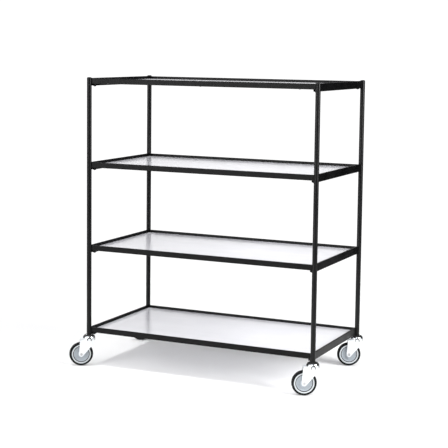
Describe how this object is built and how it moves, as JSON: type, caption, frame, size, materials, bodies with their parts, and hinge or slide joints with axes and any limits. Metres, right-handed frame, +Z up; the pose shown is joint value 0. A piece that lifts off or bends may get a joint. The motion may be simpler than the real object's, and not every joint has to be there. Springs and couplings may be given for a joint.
{
  "type": "linen trolley",
  "caption": "Open linen trolley: round posts carry framed white shelves over swivel castors that roll and turn freely.",
  "frame": {"origin": "on the floor, midway between the four posts", "axes": "+Z up, -Y towards the front, +X to the right along the length"},
  "size_m": [1.3879, 0.7484, 1.5155],
  "materials": {
    "frame_coat": "satin black powder coat",
    "rail_coat": "satin black powder coat on folded sheet",
    "cap_plastic": "moulded black plastic",
    "laminate": "white semi-gloss laminate on a wood-based board",
    "screw_steel": "dark zinc plated",
    "sleeve_rubber": "matt",
    "stem_steel": "zinc plated",
    "zinc": "bright zinc plated pressing",
    "ball_steel": "polished bearing balls",
    "axle_steel": "zinc plated",
    "wheel_grey": "light grey moulded plastic",
    "tyre_black": "smooth black rubber",
    "bearing_steel": "ground steel"
  },
  "bodies": {
    "frame": {"post_fl": "frame_coat", "post_fr": "frame_coat", "post_rl": "frame_coat", "post_rr": "frame_coat", "post_caps": "cap_plastic", "front_rail_1": "rail_coat", "rear_rail_1": "rail_coat", "left_rail_1": "rail_coat", "right_rail_1": "rail_coat", "front_rail_2": "rail_coat", "rear_rail_2": "rail_coat", "left_rail_2": "rail_coat", "right_rail_2": "rail_coat", "front_rail_3": "rail_coat", "rear_rail_3": "rail_coat", "left_rail_3": "rail_coat", "right_rail_3": "rail_coat", "front_rail_4": "rail_coat", "rear_rail_4": "rail_coat", "left_rail_4": "rail_coat", "right_rail_4": "rail_coat", "shelf_panel_1": "laminate", "shelf_panel_2": "laminate", "shelf_panel_3": "laminate", "shelf_panel_4": "laminate", "panel_screws": "screw_steel", "corner_bolts": "screw_steel", "stem_sleeves": "sleeve_rubber", "castor_stem_fl": "stem_steel", "swivel_head_fl": "zinc", "castor_stem_fr": "stem_steel", "swivel_head_fr": "zinc", "castor_stem_rl": "stem_steel", "swivel_head_rl": "zinc", "castor_stem_rr": "stem_steel", "swivel_head_rr": "zinc"},
    "castor_fl": {"fork_fl": "zinc", "ball_ring_fl": "ball_steel", "axle_fl": "axle_steel"},
    "castor_fr": {"fork_fr": "zinc", "ball_ring_fr": "ball_steel", "axle_fr": "axle_steel"},
    "castor_rl": {"fork_rl": "zinc", "ball_ring_rl": "ball_steel", "axle_rl": "axle_steel"},
    "castor_rr": {"fork_rr": "zinc", "ball_ring_rr": "ball_steel", "axle_rr": "axle_steel"},
    "wheel_fl": {"wheel_centre_fl": "wheel_grey", "tyre_fl": "tyre_black", "wheel_bearing_fl": "bearing_steel"},
    "wheel_fr": {"wheel_centre_fr": "wheel_grey", "tyre_fr": "tyre_black", "wheel_bearing_fr": "bearing_steel"},
    "wheel_rl": {"wheel_centre_rl": "wheel_grey", "tyre_rl": "tyre_black", "wheel_bearing_rl": "bearing_steel"},
    "wheel_rr": {"wheel_centre_rr": "wheel_grey", "tyre_rr": "tyre_black", "wheel_bearing_rr": "bearing_steel"}
  },
  "joints": [
    {"name": "swivel_fl", "type": "hinge", "parent": "frame", "child": "castor_fl", "pos_m": [-0.63, -0.325, 0.147], "axis": [0, 0, 1], "continuous": true},
    {"name": "roll_fl", "type": "hinge", "parent": "castor_fl", "child": "wheel_fl", "pos_m": [-0.66399, -0.34793, 0.0625], "axis": [-0.5592, 0.829, 0], "continuous": true},
    {"name": "swivel_fr", "type": "hinge", "parent": "frame", "child": "castor_fr", "pos_m": [0.63, -0.325, 0.147], "axis": [0, 0, 1], "continuous": true},
    {"name": "roll_fr", "type": "hinge", "parent": "castor_fr", "child": "wheel_fr", "pos_m": [0.59315, -0.34297, 0.0625], "axis": [-0.4384, 0.8988, 0], "continuous": true},
    {"name": "swivel_rl", "type": "hinge", "parent": "frame", "child": "castor_rl", "pos_m": [-0.63, 0.325, 0.147], "axis": [0, 0, 1], "continuous": true},
    {"name": "roll_rl", "type": "hinge", "parent": "castor_rl", "child": "wheel_rl", "pos_m": [-0.6662, 0.30575, 0.0625], "axis": [-0.4695, 0.8829, 0], "continuous": true},
    {"name": "swivel_rr", "type": "hinge", "parent": "frame", "child": "castor_rr", "pos_m": [0.63, 0.325, 0.147], "axis": [0, 0, 1], "continuous": true},
    {"name": "roll_rr", "type": "hinge", "parent": "castor_rr", "child": "wheel_rr", "pos_m": [0.59254, 0.30832, 0.0625], "axis": [-0.4067, 0.9135, 0], "continuous": true}
  ]
}
